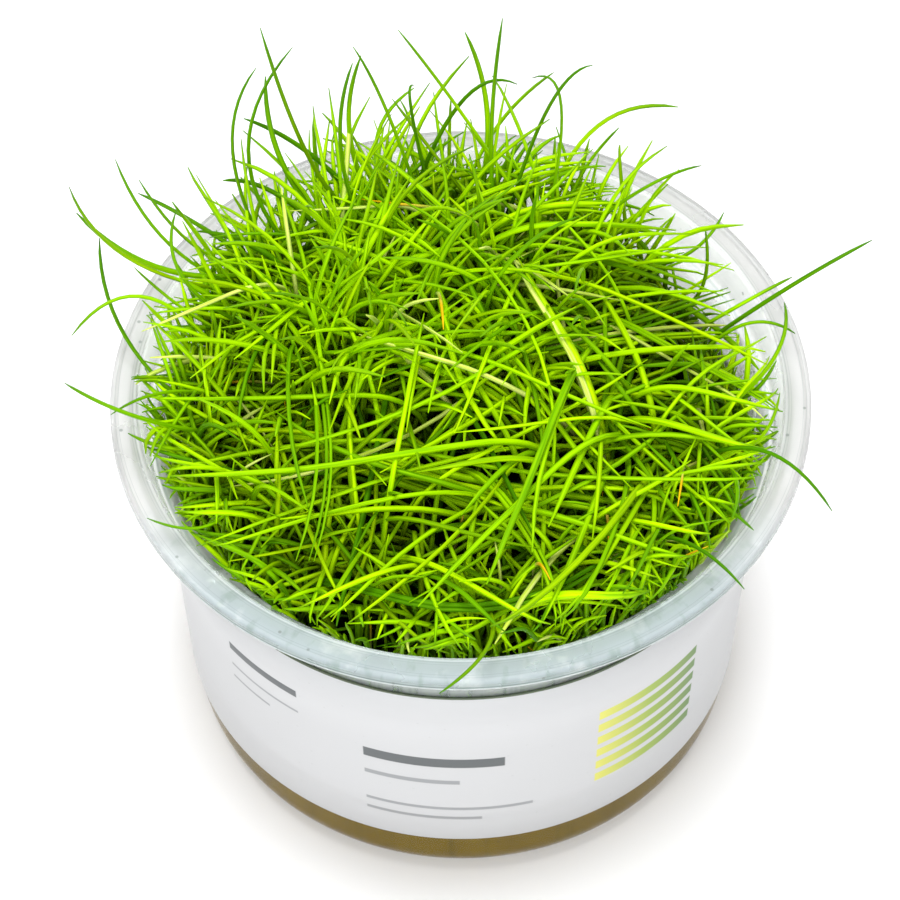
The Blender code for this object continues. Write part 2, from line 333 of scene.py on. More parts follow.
def label_film():
    """White film printed with plain grey bars and a plain green to yellow panel, with painted shade graded by height
    and a painted shadow line along its top edge.
    """
    finish = Finish("label_film")
    across, height = around(finish)
    flecks = finish.add("ShaderNodeTexVoronoi", {"Scale": 420.0})
    finish.link(finish.place(), flecks.inputs["Vector"])
    fleck = finish.spread(flecks.outputs["Distance"], 0.05, 0.09, 0.35, 0.0)
    colour = finish.mix(fleck, LABEL_WHITE, (0.45, 0.46, 0.46))
    for centre, size, grey in PRINTED_BARS:
        colour = finish.mix(plain_bar(finish, across, height, centre, size), colour, grey)
    fade = finish.spread(across, PANEL_CENTRE[0] - PANEL_SIZE[0] / 2, PANEL_CENTRE[0] + PANEL_SIZE[0] / 2, 0.0, 1.0)
    panel = finish.ramp(fade, [(0.0, (0.70, 0.68, 0.12)), (0.5, (0.30, 0.42, 0.05)), (1.0, (0.10, 0.21, 0.04))])
    mask = finish.math("MULTIPLY", 0.0, 0.0)
    for row in range(PANEL_STRIPES):
        pitch = PANEL_SIZE[1] / PANEL_STRIPES
        low = PANEL_CENTRE[1] - PANEL_SIZE[1] / 2 + pitch * (row + 0.5)
        stripe = plain_bar(finish, across, height, (PANEL_CENTRE[0], low), (PANEL_SIZE[0], pitch * 0.62))
        mask = finish.math("MAXIMUM", mask, stripe)
    colour = finish.mix(mask, colour, panel)
    # Painted shade: the film's white is graded by height to follow the fall of light
    painted_falloff = finish.ramp(finish.spread(height, 11.0, 47.4, 0.0, 1.0), LABEL_PAINTED_FALLOFF)
    colour = finish.mix(1.0, colour, painted_falloff, "MULTIPLY")
    # Painted shadow: a thin dark olive line along the label's top edge
    painted_edge_shadow = finish.spread(height, LABEL_HIGH.z / MM - 0.06, LABEL_HIGH.z / MM - 0.02, 0.0, 0.9)
    finish.feed(finish.mix(painted_edge_shadow, colour, EDGE_SHADE), "Base Color")
    finish.set(Roughness=0.42, Specular_IOR_Level=0.35)
    return finish.material


def olive_gel():
    finish = Finish("olive_gel")
    cloud = finish.noise(120.0, 4.0)
    finish.feed(finish.ramp(cloud, [(0.3, (0.172, 0.108, 0.0)), (0.7, (0.214, 0.138, 0.003))]), "Base Color")
    finish.set(Roughness=0.5, Specular_IOR_Level=0.0)
    return finish.material


def blade_green(name):
    """Leaf green by tone, streaked along the blade, with painted shade darkening it deep in the turf away from the
    wall, with some blades dried pale.
    """
    finish = Finish(name)
    tone = finish.attribute("tone")
    along = finish.attribute("along")
    dry = finish.attribute("dry")
    grain = finish.add("ShaderNodeAttribute", attribute_name="grain").outputs["Vector"]
    streak = finish.noise(1.0, 2.0, grain)
    greens = [
        (0.00, (0.020, 0.115, 0.0)),
        (0.30, (0.090, 0.270, 0.0)),
        (0.60, (0.225, 0.510, 0.0)),
        (0.85, (0.380, 0.740, 0.0)),
        (1.00, (0.470, 0.840, 0.0)),
    ]
    colour = finish.ramp(tone, greens)
    colour = finish.mix(finish.spread(dry, 0.75, 0.94, 0.0, 0.4), colour, (0.420, 0.520, 0.0))
    colour = finish.mix(finish.spread(dry, 0.0, 0.2, 0.5, 0.0), colour, (0.060, 0.260, 0.0))
    grained = [(0.32, (0.60, 0.70, 0.5)), (0.5, (1.0, 1.0, 1.0)), (0.68, (1.28, 1.16, 1.0))]
    colour = finish.mix(1.0, colour, finish.ramp(streak, grained), "MULTIPLY")
    reach, height = reach_and_height(finish)
    free = finish.spread(height, 66.0 * MM, 80.0 * MM, 0.1, 0.9)
    over_flange = finish.spread(reach, 39.5 * MM, 43.5 * MM, 0.0, 0.85)
    free = finish.math("MAXIMUM", free, over_flange)
    tip = finish.math("MULTIPLY", finish.spread(along, 0.68, 1.0, 0.0, 1.0), free)
    colour = finish.mix(tip, colour, (0.045, 0.180, 0.004))
    cream = finish.mix(finish.spread(streak, 0.4, 0.6, 0.0, 1.0), (0.50, 0.66, 0.05), (0.76, 0.84, 0.22))
    pale_blade = finish.spread(dry, 0.918, 0.921, 0.0, 0.92)
    faded = finish.math("MULTIPLY", pale_blade, finish.spread(along, 0.4, 0.62, 0.0, 1.0))
    colour = finish.mix(faded, colour, cream)
    golden_blade = finish.spread(dry, 0.960, 0.962, 0.0, 0.95)
    golden = finish.math("MULTIPLY", golden_blade, finish.spread(along, 0.84, 0.92, 0.0, 1.0))
    colour = finish.mix(golden, colour, (0.82, 0.46, 0.0))
    brown = finish.math("MULTIPLY", finish.spread(dry, 0.996, 0.997, 0.0, 0.9), finish.spread(along, 0.7, 0.8, 0.0, 1.0))
    colour = finish.mix(brown, colour, (0.28, 0.11, 0.01))
    # Painted shade: blades go nearly black low in the turf, less so near the wall
    depth = finish.spread(height, 52.0 * MM, 68.0 * MM, 1.0, 0.0)
    inner = finish.spread(reach, 33.5 * MM, 39.5 * MM, 1.0, 0.0)
    colour = finish.mix(finish.math("MULTIPLY", depth, inner), colour, (0.002, 0.014, 0.0))
    finish.feed(colour, "Base Color")
    finish.set(Roughness=0.42, Specular_IOR_Level=0.16)
    finish.shader.inputs["Specular Tint"].default_value = (0.85, 1.0, 0.1, 1.0)
    return finish.material


def arc(centre, radius, start, end, steps):
    """Points of an arc in the (radius, height) plane, angles in degrees."""
    points = []
    for step in range(steps + 1):
        angle = math.radians(start + (end - start) * step / steps)
        points.append((centre[0] + radius * math.cos(angle), centre[1] + radius * math.sin(angle)))
    return points


def wall_outer(height):
    return WALL_FOOT_RADIUS + WALL_FLARE * height


def wall_inner(height):
    return wall_outer(height) - WALL_THICKNESS


def spin_profile(profile, steps=ROUND_STEPS):
    """A closed body turned about Z from a profile that starts and ends on the axis."""
    mesh = bmesh.new()
    verts = [mesh.verts.new((radius, 0.0, height)) for radius, height in profile]
    edges = [mesh.edges.new(pair) for pair in zip(verts, verts[1:])]
    bmesh.ops.spin(
        mesh, geom=verts + edges, cent=(0, 0, 0), axis=(0, 0, 1), angle=math.tau, steps=steps, use_merge=True
    )
    bmesh.ops.remove_doubles(mesh, verts=mesh.verts, dist=0.001 * MM)
    bmesh.ops.recalc_face_normals(mesh, faces=mesh.faces)
    return mesh


def cup_profile():
    foot_centre = wall_outer(FOOT_ROUNDING) - FOOT_ROUNDING
    inner_rounding = FOOT_ROUNDING - WALL_THICKNESS
    haze_low = LABEL_HIGH.z
    haze_low_outside = haze_low + CLEAR_BAND
    profile = [(0.0, FLOOR_THICKNESS)]
    profile += arc((foot_centre, FLOOR_THICKNESS + inner_rounding), inner_rounding, -90, 0, 10)
    profile += [(wall_inner(haze_low), haze_low)]
    step_edge = 0.6 * MM
    step_start = wall_inner(LID_STEP_HEIGHT)
    profile += [(wall_inner(LID_STEP_HEIGHT - 1.2 * MM), LID_STEP_HEIGHT - 1.2 * MM)]
    profile += arc((step_start + step_edge, LID_STEP_HEIGHT - step_edge - 0.2 * MM), step_edge, 180, 95, 5)
    profile += arc((LID_STEP_RADIUS - step_edge, LID_STEP_HEIGHT + step_edge), step_edge, -85, -10, 5)
    rim_edge = 0.5 * MM
    profile += arc((FLANGE_INNER_RADIUS - 0.1 * MM, CUP_HEIGHT - rim_edge), rim_edge, 165, 90, 5)
    profile += [(FLANGE_INNER_RADIUS + FLAT_EDGE, CUP_HEIGHT)]
    profile += [(FLANGE_RADIUS - EDGE_ROUNDING - FLAT_EDGE, CUP_HEIGHT)]
    profile += arc((FLANGE_RADIUS - EDGE_ROUNDING, CUP_HEIGHT - EDGE_ROUNDING), EDGE_ROUNDING, 90, 0, 6)
    lip_round = LIP_THICKNESS / 2
    lip_low = CUP_HEIGHT - LIP_DEPTH + lip_round
    profile += arc((FLANGE_RADIUS - lip_round, lip_low), lip_round, 0, -180, 6)
    underside = CUP_HEIGHT - FLANGE_THICKNESS
    profile += [(FLANGE_RADIUS - LIP_THICKNESS, underside - 0.3 * MM)]
    profile += [(FLANGE_RADIUS - LIP_THICKNESS - 0.3 * MM, underside)]
    profile += [(FLANGE_RADIUS - LIP_THICKNESS - 0.3 * MM - FLAT_EDGE, underside)]
    profile += [(FLANGE_INNER_RADIUS + WALL_THICKNESS + 0.6 * MM + FLAT_EDGE, underside)]
    profile += [(FLANGE_INNER_RADIUS + WALL_THICKNESS + 0.6 * MM, underside)]
    profile += [(FLANGE_INNER_RADIUS + WALL_THICKNESS, underside - 0.4 * MM)]
    profile += [(LID_STEP_RADIUS + WALL_THICKNESS, LID_STEP_HEIGHT + step_edge)]
    profile += arc((LID_STEP_RADIUS - step_edge, LID_STEP_HEIGHT + step_edge), step_edge + WALL_THICKNESS, -5, -80, 5)
    profile += [(wall_outer(LID_STEP_HEIGHT) + 0.3 * MM, LID_STEP_HEIGHT - 1.1 * MM)]
    profile += [(wall_outer(LID_STEP_HEIGHT), LID_STEP_HEIGHT - 1.8 * MM)]
    profile += [(wall_outer(LID_STEP_HEIGHT - 3.6 * MM), LID_STEP_HEIGHT - 3.6 * MM)]
    profile += [(wall_outer(haze_low_outside), haze_low_outside)]
    profile += arc((foot_centre, FOOT_ROUNDING), FOOT_ROUNDING, 0, -90, 10)
    profile += [(0.0, 0.0)]
    return profile


def plastic_at(place):
    """Which of the cup's plastics a face is: clear foot, hazy flange, the lip or the step; the lip and step are
    painted paler than the flange as painted light.
    """
    reach = math.hypot(place.x, place.y)
    if reach > FLANGE_RADIUS - 0.4 * MM and place.z < CUP_HEIGHT - EDGE_ROUNDING:
        return 2
    if place.z > LABEL_HIGH.z + 1.0 * MM and reach < FLANGE_INNER_RADIUS:
        return 3
    outside = reach > wall_outer(place.z) - WALL_THICKNESS / 2
    return 1 if place.z > LABEL_HIGH.z + outside * CLEAR_BAND else 0


def make_cup():
    mesh = spin_profile(cup_profile())
    for face in mesh.faces:
        face.material_index = plastic_at(face.calc_center_median())
    foot = clear_plastic("foot_plastic", 0.99, (0.92, 0.92, 0.90), (0.92, 0.92, 0.90), (0.05, 0.12), 0.1, 1.18)
    cup = add_piece("clear_cup", mesh, foot, "cup")
    # The darker front colours are painted shade toward the front; the lip and step are painted paler than the flange
    # as painted light
    rim_front_shade = (0.55, 0.62, 0.64)
    rim = clear_plastic("rim_plastic", 0.5, (0.71, 0.71, 0.705), rim_front_shade, (0.25, 0.35), 0.15, 1.3, FLANGE_PAINTED_LINES)
    step_front_shade = (0.80, 0.86, 0.85)
    step = clear_plastic("step_plastic", 0.7, (0.93, 0.94, 0.94), step_front_shade, (0.2, 0.3), 0.15, 1.3, STEP_PAINTED_LINES)
    lip_front_shade = (0.50, 0.57, 0.57)
    lip = clear_plastic("lip_plastic", 0.5, (0.80, 0.81, 0.81), lip_front_shade, (0.2, 0.3), 0.2, 1.35, LIP_PAINTED_LINES)
    cup.data.materials.append(rim)
    cup.data.materials.append(lip)
    cup.data.materials.append(step)
    return cup


def make_label():
    mesh = bmesh.new()
    back = WALL_FOOT_RADIUS + LABEL_GAP
    seam = math.radians(2.0)
    low, high = LABEL_LOW.z, LABEL_HIGH.z
    rows = 4
    verts = []
    for row in range(rows + 1):
        height = high + (low - high) * row / rows
        verts.append(mesh.verts.new((0.0, back + WALL_FLARE * height, height)))
    edges = [mesh.edges.new(pair) for pair in zip(verts, verts[1:])]
    start = Matrix.Rotation(seam / 2, 3, "Z")
    bmesh.ops.rotate(mesh, verts=verts, cent=(0, 0, 0), matrix=start)
    bmesh.ops.spin(
        mesh, geom=verts + edges, cent=(0, 0, 0), axis=(0, 0, 1), angle=math.tau - seam, steps=ROUND_STEPS
    )
    bmesh.ops.recalc_face_normals(mesh, faces=mesh.faces)
    piece = add_piece("label_wrap", mesh, label_film(), "label")
    film = piece.modifiers.new("film", "SOLIDIFY")
    film.thickness = LABEL_THICKNESS
    film.offset = 1.0
    return piece


def make_gel():
    radius = wall_inner(GEL_TOP) + GEL_CONTACT
    bottom = FLOOR_THICKNESS - GEL_CONTACT
    rounding = FOOT_ROUNDING - WALL_THICKNESS + GEL_CONTACT
    foot_centre = (wall_outer(FOOT_ROUNDING) - FOOT_ROUNDING, bottom + rounding)
    profile = [(0.0, GEL_TOP)]
    profile += [(radius - 4.0 * GEL_MENISCUS, GEL_TOP), (radius - GEL_MENISCUS, GEL_TOP + 0.3 * GEL_MENISCUS)]
    profile += [(radius, GEL_TOP + GEL_MENISCUS)]
    profile += arc(foot_centre, rounding, 0, -90, 10)
    profile += [(0.0, bottom)]
    return add_piece("nutrient_gel", spin_profile(profile), olive_gel(), "gel")


def unit(vectors):
    return vectors / np.maximum(np.linalg.norm(vectors, axis=-1, keepdims=True), 1e-9)


def grow(chance, tufts, stations):
    """Centre lines of many blades at once, from the gel up.

    A blade rises, bends over as it meets its ceiling, as it did under the lid, and runs on across the top.
    Near the wall it turns back inwards or ends.
    """
    count = len(tufts["root"])
    place = tufts["root"].copy()
    azimuth = tufts["azimuth"].copy()
    stride = tufts["length"] / GROWTH_STEPS
    bend = tufts["bend"]
    path = [place.copy()]
    wander = np.zeros((2, count))
    ends = np.full(count, GROWTH_STEPS)
    for step in range(GROWTH_STEPS):
        reach = np.hypot(place[:, 0], place[:, 1])
        fall = tufts["fall"] + LOW_SIDE_DROP * low_side(place)
        room = tufts["ceiling"] - fall * (reach / LID_STEP_RADIUS) ** 2 - place[:, 2]
        steep = math.pi / 2 - tufts["lean"]
        arched = np.arccos(np.clip(1.0 - room / bend, -1.0, 1.0))
        sunk = -np.sqrt(np.clip(-room / bend, 0.0, 1.0)) * 0.5 + tufts["droop"]
        pitch = np.where(room > 0.0, np.minimum(steep, arched + tufts["droop"]), sunk)
        wander = 0.88 * wander + chance.normal(0.0, 0.23 * tufts["wander"], (2, count))
        pitch = pitch + 6.0 * wander[1]
        azimuth = azimuth + tufts["curl"] * stride / MM + wander[0]
        limit = inside_cup(place)
        bearing = np.arctan2(place[:, 1], place[:, 0])
        off = (azimuth - bearing + math.pi) % math.tau - math.pi
        near = np.clip((reach - limit + TURN_MARGIN) / TURN_MARGIN, 0.0, 1.0) * np.clip(np.cos(off), 0.0, 1.0)
        near = np.where(tufts["stops"], 0.0, near)
        azimuth = azimuth + np.where(off >= 0.0, 1.0, -1.0) * near * stride / TURN_RADIUS
        heading = np.stack(
            [np.cos(pitch) * np.cos(azimuth), np.cos(pitch) * np.sin(azimuth), np.sin(pitch)], 1
        )
        place = place + heading * stride[:, None]
        pressed = hold_inside(place)
        stopped = pressed & (np.abs(pitch) < 0.9) & (ends == GROWTH_STEPS) & tufts["stops"]
        ends = np.where(stopped, step + 1, ends)
        path.append(place.copy())
    paths = np.stack(path, 1)
    for _ in range(SMOOTHING_PASSES):
        paths[:, 1:-1] = (paths[:, :-2] + 2.0 * paths[:, 1:-1] + paths[:, 2:]) / 4.0
    return even_out(paths, ends, stations)


def hold_inside(place):
    """Pull points back inside the cup, and say which of them were outside."""
    reach = np.hypot(place[..., 0], place[..., 1])
    held = np.minimum(1.0, inside_cup(place) / np.maximum(reach, 1e-9))
    place[..., :2] *= held[..., None]
    return held < 0.999


def even_out(paths, ends, stations):
    """The same lines up to their ends, with the given number of stations, closer where a line bends more."""
    lines = []
    for path, end in zip(paths, ends):
        path = path[: end + 1]
        legs = np.diff(path, axis=0)
        headings = unit(legs)
        turns = np.zeros(len(legs))
        turns[1:] = np.arccos(np.clip((headings[1:] * headings[:-1]).sum(1), -1.0, 1.0))
        lengths = np.linalg.norm(legs, axis=1)
        pace = lengths / lengths.sum() + BEND_SHARE * turns / max(turns.sum(), 1.0)
        marks = np.concatenate([[0.0], np.cumsum(pace)])
        spots = np.linspace(0.0, marks[-1], stations)
        lines.append(np.stack([np.interp(spots, marks, path[:, axis]) for axis in range(3)], 1))
    return np.array(lines)


def add_bundles(chance, paths, tufts, share):
    """Some blades lie side by side with one or two others of the same course, and part towards their tips."""
    chosen = np.flatnonzero(chance.random(len(paths)) < share)
    source = np.repeat(chosen, chance.integers(1, 3, len(chosen)))
    rank = np.concatenate([np.arange(1, np.sum(source == one) + 1) for one in chosen])
    chord = paths[source, -1] - paths[source, len(paths[0]) // 2]
    aside = unit(np.cross(chord, [0.0, 0.0, 1.0]))
    parting = chance.uniform(-0.2, 1.4, len(source))[:, None]
    opening = 0.6 + np.linspace(0.0, 1.0, paths.shape[1])[None, :] ** 2 * parting
    offset = aside[:, None, :] * (rank * tufts["width"][source])[:, None, None] * opening[:, :, None]
    copies = paths[source] + offset
    hold_inside(copies)
    paths = np.concatenate([paths, copies])
    looks = {key: np.concatenate([tufts[key], tufts[key][source]]) for key in ("width", "tone", "dry")}
    looks["tone"][-len(source):] += chance.normal(0.0, 0.1, len(source))
    looks["dry"][-len(source):] = chance.uniform(0.0, 0.93, len(source))
    looks["tone"] = np.clip(looks["tone"], 0.0, 1.0)
    return paths, looks


def low_side(place):
    """How much a point is on the side at the back right, where the grass is lower and leaves the wall bare."""
    bearing = np.arctan2(place[..., 1], place[..., 0])
    return np.clip(1.5 - np.abs(bearing - LOW_SIDE_BEARING) / LOW_SIDE_SPREAD, 0.0, 1.0)


def inside_cup(place):
    """The radius that blades are held in: the wall, the lid step and the edge of the flange above it."""
    heights = [0.0, 54.5, 56.8, 58.0, 60.0, 62.0, 70.0, 80.0]
    radii = [wall_inner(0.0) / MM, wall_inner(54.5 * MM) / MM, 41.2, 42.3, 43.2, 43.8, 44.6, 45.5]
    high = np.clip((place[..., 2] / MM - 48.0) / 6.0, 0.0, 1.0)
    radius = np.interp(place[..., 2] / MM, heights, radii) - 0.65
    return (radius - LOW_SIDE_GAP * high * low_side(place)) * MM


def sow(chance, tuft_count, blades, ring, length, ceiling, bend, width, tone, **more):
    """Tufts of blades with one root each, whose blades fan out from it; lengths in millimetres."""
    count = tuft_count * blades
    inner, outer = ring
    reach = np.sqrt(chance.uniform(inner**2, outer**2, tuft_count)) * MM
    side, side_spread = more.get("side", (0.0, 60.0))
    bearing = chance.normal(side, side_spread, tuft_count)
    root = np.stack([reach * np.cos(bearing), reach * np.sin(bearing), np.full(tuft_count, GEL_TOP)], 1)
    root = np.repeat(root, blades, 0)
    root[:, :2] += chance.normal(0.0, 0.6 * MM, (count, 2))
    heading, heading_spread = more.get("heading", (0.0, 60.0))
    azimuth = bearing + chance.normal(heading, heading_spread, tuft_count)
    azimuth = np.repeat(azimuth, blades) + chance.normal(0.0, more.get("spread", 0.7), count)
    tuft_tone = np.repeat(chance.uniform(*tone, tuft_count), blades)
    tuft_ceiling = np.repeat(chance.uniform(*ceiling, tuft_count), blades)
    dry = chance.random(count)
    return {
        "root": root,
        "azimuth": azimuth,
        "length": chance.uniform(*length, count) * MM * np.where(dry > 0.94, 0.7, 1.0),
        "lean": np.abs(chance.normal(more.get("lean", 0.2), 0.13, count)),
        "ceiling": (tuft_ceiling + chance.normal(0.0, 1.2, count)) * MM,
        "bend": chance.uniform(*bend, count) * MM,
        "curl": chance.normal(0.0, more.get("curl", 0.010), count),
        "droop": chance.normal(more.get("droop", 0.0), 0.12, count),
        "wander": more.get("wander", 0.03),
        "fall": more.get("fall", 1.5) * MM,
        "stops": chance.random(count) < more.get("stops", 1.0),
        "width": chance.uniform(*width, count) * MM * np.where(dry > 0.94, 0.65, 1.0),
        "tone": np.clip(tuft_tone + chance.normal(0.0, 0.15, count), 0.0, 1.0),
        "dry": dry,
    }


def bezier(first, bend, last, steps):
    share = np.linspace(0.0, 1.0, steps + 1)[:, None]
    return first * (1 - share) ** 2 + bend * 2 * share * (1 - share) + last * share**2


def sweep_blades(name, paths, looks, material, nodes, sides):
    """One joined mesh of slightly flat tapering blades along the given centre lines."""
    count, stations = paths.shape[:2]
    lengths = np.linalg.norm(np.diff(paths, axis=1), axis=2)
    travelled = np.concatenate([np.zeros((count, 1)), np.cumsum(lengths, 1)], 1)
    along = travelled / travelled[:, -1:]
    tangent = unit(np.gradient(paths, axis=1))
    side = unit(np.cross(tangent[:, 0], [0.31, 0.87, 0.12]))
    frames = [side]
    for station in range(1, stations):
        side = unit(side - tangent[:, station] * (side * tangent[:, station]).sum(1)[:, None])
        frames.append(side)
    normal = np.stack(frames, 1)
    binormal = np.cross(tangent, normal)
    twist = (looks["dry"] * 1000.0)[:, None, None]
    broad = normal * np.cos(twist) + binormal * np.sin(twist)
    thin = (binormal * np.cos(twist) - normal * np.sin(twist)) * BLADE_FLATNESS
    taper = np.interp(along, [0.0, 0.1, 0.7, 0.9, 0.96, 1.0], [0.85, 1.0, 0.97, 0.84, 0.64, 0.2])
    radius = looks["width"][:, None] / 2 * taper
    angle = np.arange(sides) / sides * math.tau
    cos, sin = np.cos(angle), np.sin(angle)
    ring = broad[:, :, None, :] * cos[None, None, :, None] + thin[:, :, None, :] * sin[None, None, :, None]
    verts = paths[:, :, None, :] + ring * radius[:, :, None, None]
    verts = verts.reshape(-1, 3)
    grain = np.zeros((count, stations, sides, 3))
    grain[..., 0] = cos * GRAIN_TURNS
    grain[..., 1] = sin * GRAIN_TURNS
    grain[..., 2] = travelled[:, :, None] / GRAIN_LENGTH
    grain += (looks["dry"] * 977.0)[:, None, None, None]
    first = (np.arange(count) * stations * sides)[:, None, None]
    row = (np.arange(stations - 1) * sides)[None, :, None]
    column = np.arange(sides)[None, None, :]
    here = first + row + column
    there = first + row + (column + 1) % sides
    quads = np.stack([here, there, there + sides, here + sides], -1).reshape(-1, 4)
    caps_low = (first[:, 0] + np.arange(sides)[::-1][None, :]).reshape(-1, sides)
    caps_high = (first[:, 0] + (stations - 1) * sides + np.arange(sides)[None, :]).reshape(-1, sides)
    data = bpy.data.meshes.new(name)
    data.vertices.add(len(verts))
    data.vertices.foreach_set("co", verts.astype(np.float32).ravel())
    loops = np.concatenate([quads.ravel(), caps_low.ravel(), caps_high.ravel()])
    sizes = np.concatenate([np.full(len(quads), 4), np.full(2 * count, sides)])
    data.loops.add(len(loops))
    data.loops.foreach_set("vertex_index", loops.astype(np.int32))
    data.polygons.add(len(sizes))
    data.polygons.foreach_set("loop_start", np.concatenate([[0], np.cumsum(sizes)[:-1]]).astype(np.int32))
    data.update(calc_edges=True)
    data.shade_smooth()
    for mark in ("tone", "dry"):
        layer = data.attributes.new(mark, "FLOAT", "POINT")
        layer.data.foreach_set("value", np.repeat(looks[mark], stations * sides).astype(np.float32))
    layer = data.attributes.new("along", "FLOAT", "POINT")
    layer.data.foreach_set("value", np.repeat(along.ravel(), sides).astype(np.float32))
    layer = data.attributes.new("grain", "FLOAT_VECTOR", "POINT")
    layer.data.foreach_set("vector", grain.astype(np.float32).ravel())
    lay_out_strips(data, count, stations, sides)
    data.materials.append(material)
    piece = bpy.data.objects.new(name, data)
    bpy.context.scene.collection.objects.link(piece)
    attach(piece, "root")
    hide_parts(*nodes)
    return piece


def lay_out_strips(data, count, stations, sides):
    """A map with one narrow strip for each blade, its length across and its girth up."""
    columns = max(1, round(math.sqrt(count / 23.0)))
    rows = math.ceil(count / columns)
    index = np.arange(count)
    left = (index % columns) / columns
    low = (index // columns) / rows
    margin = 0.06
    along = (np.linspace(0.0, 1.0, stations) * (1 - 0.2 * margin) + 0.1 * margin) / columns
    around = (np.linspace(0.0, 1.0, sides + 1) * (1 - 2 * margin) + margin) / rows
    a = np.arange(stations - 1)[:, None]
    b = np.arange(sides)[None, :]
    corner_u = np.stack([a + 0 * b, a + 0 * b, a + 1 + 0 * b, a + 1 + 0 * b], -1)
    corner_v = np.stack([b + 0 * a, b + 1 + 0 * a, b + 1 + 0 * a, b + 0 * a], -1)
    u = left[:, None] + along[corner_u.ravel()][None, :]
    v = low[:, None] + around[corner_v.ravel()][None, :]
    cap = np.arange(sides) / (sides - 1)
    cap_v = low[:, None] + (cap * (1 - 2 * margin) + margin)[None, :] / rows
    low_cap_u = np.repeat((left + along[0])[:, None], sides, 1)
    high_cap_u = np.repeat((left + along[-1])[:, None], sides, 1)
    every_u = np.concatenate([u.ravel(), low_cap_u.ravel(), high_cap_u.ravel()])
    every_v = np.concatenate([v.ravel(), cap_v.ravel(), cap_v.ravel()])
    layer = data.uv_layers.new(name="OFBake")
    layer.data.foreach_set("uv", np.stack([every_u, every_v], 1).astype(np.float32).ravel())


LONG_BLADES = [
    ((-31, 18), (-53, 28, 71), 8, 14),
    ((-29, 21), (-52, 25, 69), 1, 9),
    ((-34, -4), (-49, 23, 66), 1, 8),
    ((-28, 18), (-46, 25, 80), 3, 10),
    ((-26, 22), (-43, 24, 77), 0, 9),
    ((-28, 23), (-44, 31, 66), 5, 2),
    ((-29, 9), (-44, 17, 67), -2, 1),
    ((-29, 12), (-38, 20, 75), 7, 11),
    ((-33, 8), (-52, 6, 66), 11, -7),
    ((-35, -6), (-52, -6, 71), 10, 10),
    ((-33, 0), (-46, -9, 68), 4, -1),
    ((-34, -9), (-44, -9, 64), 1, 3),
    ((-30, -18), (-41, -23, 64), 1, 7),
    ((-15, 32), (-26, 32, 98), -2, 9),
    ((-23, 25), (-22, 34, 92), -1, 12),
    ((-26, 24), (-27, 34, 88), 6, 8),
    ((-17, 28), (-26, 37, 83), 3, 7),
    ((-12, 31), (-29, 33, 79), 0, -5),
    ((-22, 29), (-30, 33, 67), -2, 0),
    ((-20, 30), (-32, 28, 72), 1, -4),
    ((-20, 27), (-34, 23, 66), 9, 6),
    ((-13, 28), (-14, 32, 91), 3, 5),
    ((-12, 34), (-13, 37, 87), 2, 5),
    ((-5, 32), (-14, 35, 91), 9, 1),
    ((-4, 35), (-6, 36, 82), 19, 6),
    ((-9, 31), (-6, 41, 76), 2, 8),
    ((8, 35), (-8, 38, 91), 5, 2),
    ((3, 35), (1, 42, 86), 1, -4),
    ((5, 30), (6, 38, 93), -3, 2),
    ((-6, 36), (8, 37, 81), 14, 2),
    ((2, 33), (-9, 39, 76), 4, 2),
    ((1, 36), (13, 40, 80), -5, 8),
    ((12, 29), (10, 39, 80), 18, -6),
    ((7, 32), (18, 34, 88), 13, 1),
    ((12, 32), (30, 38, 75), 2, 11),
    ((15, 32), (22, 37, 72), -4, 4),
    ((23, 28), (22, 33, 73), 9, 1),
    ((17, 28), (33, 30, 72), 12, -6),
    ((27, 22), (36, 25, 68), 2, -5),
    ((32, 16), (33, 18, 73), -2, -2),
    ((35, 10), (55, 14, 75), 6, -3),
    ((34, 12), (45, 16, 65), 5, -3),
    ((33, 7), (45, 7, 64), 7, 1),
    ((34, -4), (43, 5, 73), 7, -8),
    ((35, 0), (42, 0, 67), -3, -4),
    ((34, -10), (42, -7, 69), 1, -7),
    ((32, -11), (48, -25, 67), 12, 1),
    ((32, -17), (38, -25, 63), 1, 0),
    ((25, -24), (36, -38, 68), 6, 0),
    ((3, -35), (-3, -51, 64), 5, 7),
]


def make_long_blades(material):
    paths = []
    for (root_x, root_y), tip, rise, bow in LONG_BLADES:
        root = np.array([root_x, root_y, 60.5])
        tip = np.array(tip, float)
        along = tip - root
        sideways = unit(np.array([-along[1], along[0], 0.0]))
        bend = (root + tip) / 2 + np.array([0.0, 0.0, rise]) + sideways * bow
        free = bezier(root, bend, tip, 14)
        start = unit(free[1] - free[0])
        below = []
        for depth in (20.0, 15.0, 10.0, 5.0):
            sink = unit(start * np.array([0.7, 0.7, 1.0]) + np.array([0.0, 0.0, 0.5 * depth / 10.0]))
            below.append(root - sink * depth)
        paths.append(np.vstack([below, free]))
    paths = np.array(paths) * MM
    chance = np.random.default_rng(GRASS_SEED)
    looks = {
        "width": chance.uniform(0.58, 0.84, len(paths)) * MM,
        "tone": chance.uniform(0.2, 0.75, len(paths)),
        "dry": chance.uniform(0.0, 0.9, len(paths)),
    }
    nodes = [f"long_blade_{index + 1:02d}" for index in range(len(paths))]
    return sweep_blades("long_blades", paths, looks, material, nodes, sides=8)


